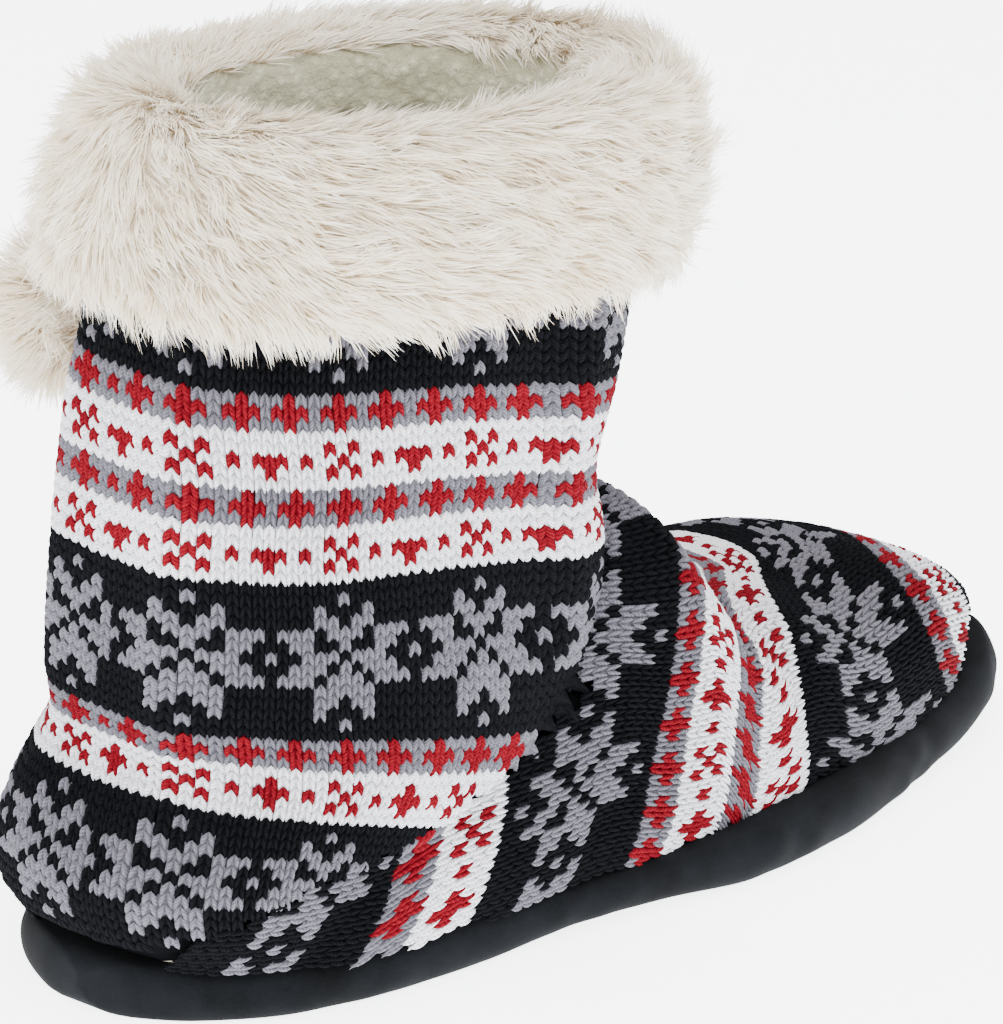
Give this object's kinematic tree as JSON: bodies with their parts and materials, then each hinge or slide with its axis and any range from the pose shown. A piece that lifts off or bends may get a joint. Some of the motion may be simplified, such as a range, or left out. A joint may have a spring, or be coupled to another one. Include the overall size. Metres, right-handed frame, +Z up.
{
  "type": "knit slipper boot",
  "caption": "Ankle-high knit slipper boot, left foot, with soft suede sole, hollow Fair-Isle knit upper, turned-down fur cuff and a fur pompom sewn at the side.",
  "frame": {"origin": "on the floor, under the middle of the heel seat", "axes": "+X towards the toe, +Y to the left (lateral side of this left shoe), +Z up"},
  "size_m": [0.2637, 0.1337, 0.1679],
  "materials": {
    "suede": "napped microsuede",
    "knit": "stockinette knit in black, grey, red and white yarn",
    "fur": "long-pile faux fur",
    "fleece": "sherpa fleece"
  },
  "bodies": {
    "root": {"outsole": "suede", "insole": "fleece", "upper": "knit", "fur_cuff": "fur", "pompom": "fur"}
  },
  "joints": []
}
